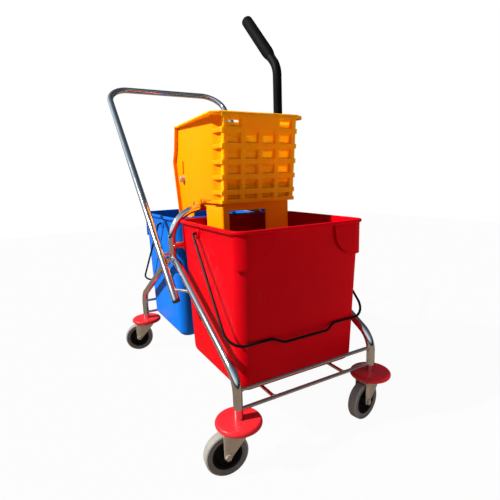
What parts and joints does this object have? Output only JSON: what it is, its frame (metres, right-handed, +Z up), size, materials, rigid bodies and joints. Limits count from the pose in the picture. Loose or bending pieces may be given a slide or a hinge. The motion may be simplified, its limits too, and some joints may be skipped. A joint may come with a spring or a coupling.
{
  "type": "double mop bucket trolley",
  "caption": "Chromed tube trolley on swivel castors with a red and a blue lift-out bucket, a yellow lever wringer over the hoop and a sloping push handle.",
  "frame": {"origin": "on the floor under the middle of the trolley's overall box", "axes": "+X to the right, +Y from the red front bucket to the blue rear bucket and the push handle, +Z up"},
  "size_m": [0.5083, 0.9091, 1.0439],
  "materials": {
    "chrome": "bright chromed steel tube and rod",
    "zinc_steel": "zinc plated steel",
    "red_plastic": "moulded, semi-gloss",
    "blue_plastic": "moulded, semi-gloss",
    "yellow_plastic": "moulded, slightly translucent",
    "coral_plastic": "moulded, semi-gloss",
    "black_wire": "black coated wire",
    "black_steel": "matt black powder coat",
    "black_rubber": "matt grip",
    "black_plastic": "moulded",
    "grey_tyre": "grey non-marking tread"
  },
  "bodies": {
    "frame": {"left_side_tube": "chrome", "right_side_tube": "chrome", "hoop_tube": "chrome", "hoop_cross_tube": "chrome", "front_upper_bar": "chrome", "front_lower_bar": "chrome", "rear_upper_bar": "chrome", "rear_lower_bar": "chrome", "left_cradle_rod": "chrome", "right_cradle_rod": "chrome", "handle_tube": "chrome", "handle_end_plugs": "black_plastic", "handle_spacers": "chrome", "castor_sockets": "black_plastic", "front_left_bumper": "coral_plastic", "front_right_bumper": "coral_plastic", "rear_left_bumper": "coral_plastic", "rear_right_bumper": "coral_plastic"},
    "front_left_castor": {"front_left_fork": "zinc_steel", "front_left_axle": "zinc_steel"},
    "front_left_wheel": {"front_left_tyre": "grey_tyre", "front_left_wheel_hub": "black_plastic"},
    "front_right_castor": {"front_right_fork": "zinc_steel", "front_right_axle": "zinc_steel"},
    "front_right_wheel": {"front_right_tyre": "grey_tyre", "front_right_wheel_hub": "black_plastic"},
    "rear_left_castor": {"rear_left_fork": "zinc_steel", "rear_left_axle": "zinc_steel"},
    "rear_left_wheel": {"rear_left_tyre": "grey_tyre", "rear_left_wheel_hub": "black_plastic"},
    "rear_right_castor": {"rear_right_fork": "zinc_steel", "rear_right_axle": "zinc_steel"},
    "rear_right_wheel": {"rear_right_tyre": "grey_tyre", "rear_right_wheel_hub": "black_plastic"},
    "red_bucket": {"red_bucket": "red_plastic"},
    "blue_bucket": {"blue_bucket": "blue_plastic"},
    "red_bail": {"red_bail": "black_wire"},
    "blue_bail": {"blue_bail": "black_wire"},
    "wringer": {"wringer_body": "yellow_plastic", "wringer_legs": "yellow_plastic", "stop_rod": "zinc_steel", "stop_rod_nuts": "zinc_steel", "shaft_bush": "black_plastic", "spring_housing": "black_plastic", "return_spring": "zinc_steel"},
    "lever": {"drive_shaft": "zinc_steel", "press_flap": "yellow_plastic", "lever_hub": "black_steel", "lever_bolt": "zinc_steel", "lever_tube": "black_steel", "lever_grip": "black_rubber"}
  },
  "joints": [
    {"name": "front_left_swivel", "type": "hinge", "parent": "frame", "child": "front_left_castor", "pos_m": [-0.18, -0.407, 0.097], "axis": [0, 0, 1], "continuous": true},
    {"name": "front_left_roll", "type": "hinge", "parent": "front_left_castor", "child": "front_left_wheel", "pos_m": [-0.20878, -0.40347, 0.045], "axis": [-0.1219, -0.9925, 0], "continuous": true},
    {"name": "front_right_swivel", "type": "hinge", "parent": "frame", "child": "front_right_castor", "pos_m": [0.18, -0.407, 0.097], "axis": [0, 0, 1], "continuous": true},
    {"name": "front_right_roll", "type": "hinge", "parent": "front_right_castor", "child": "front_right_wheel", "pos_m": [0.15144, -0.41204, 0.045], "axis": [0.1736, -0.9848, 0], "continuous": true},
    {"name": "rear_left_swivel", "type": "hinge", "parent": "frame", "child": "rear_left_castor", "pos_m": [-0.18, 0.279, 0.097], "axis": [0, 0, 1], "continuous": true},
    {"name": "rear_left_roll", "type": "hinge", "parent": "rear_left_castor", "child": "rear_left_wheel", "pos_m": [-0.20837, 0.28503, 0.045], "axis": [-0.2079, -0.9781, 0], "continuous": true},
    {"name": "rear_right_swivel", "type": "hinge", "parent": "frame", "child": "rear_right_castor", "pos_m": [0.18, 0.279, 0.097], "axis": [0, 0, 1], "continuous": true},
    {"name": "rear_right_roll", "type": "hinge", "parent": "rear_right_castor", "child": "rear_right_wheel", "pos_m": [0.209, 0.279, 0.045], "axis": [0, 1, 0], "continuous": true},
    {"name": "red_bucket_lift", "type": "slide", "parent": "frame", "child": "red_bucket", "axis": [0, 0, 1], "range_m": [0, 0.025]},
    {"name": "blue_bucket_lift", "type": "slide", "parent": "frame", "child": "blue_bucket", "axis": [0, 0, 1], "range_m": [0, 0.025]},
    {"name": "red_bail_swing", "type": "hinge", "parent": "red_bucket", "child": "red_bail", "pos_m": [0, -0.198, 0.4553], "axis": [-1, 0, 0], "range_deg": [0, 120]},
    {"name": "blue_bail_swing", "type": "hinge", "parent": "blue_bucket", "child": "blue_bail", "pos_m": [0, 0.07, 0.4553], "axis": [1, 0, 0], "range_deg": [0, 120]},
    {"name": "wringer_lift", "type": "slide", "parent": "frame", "child": "wringer", "axis": [0, 0, 1], "range_m": [0, 0.11]},
    {"name": "lever_press", "type": "hinge", "parent": "wringer", "child": "lever", "pos_m": [0, -0.094, 0.6916], "axis": [-1, 0, 0], "range_deg": [0, 55], "stiffness_Nm_per_rad": 2, "springref_deg": -34.38}
  ]
}
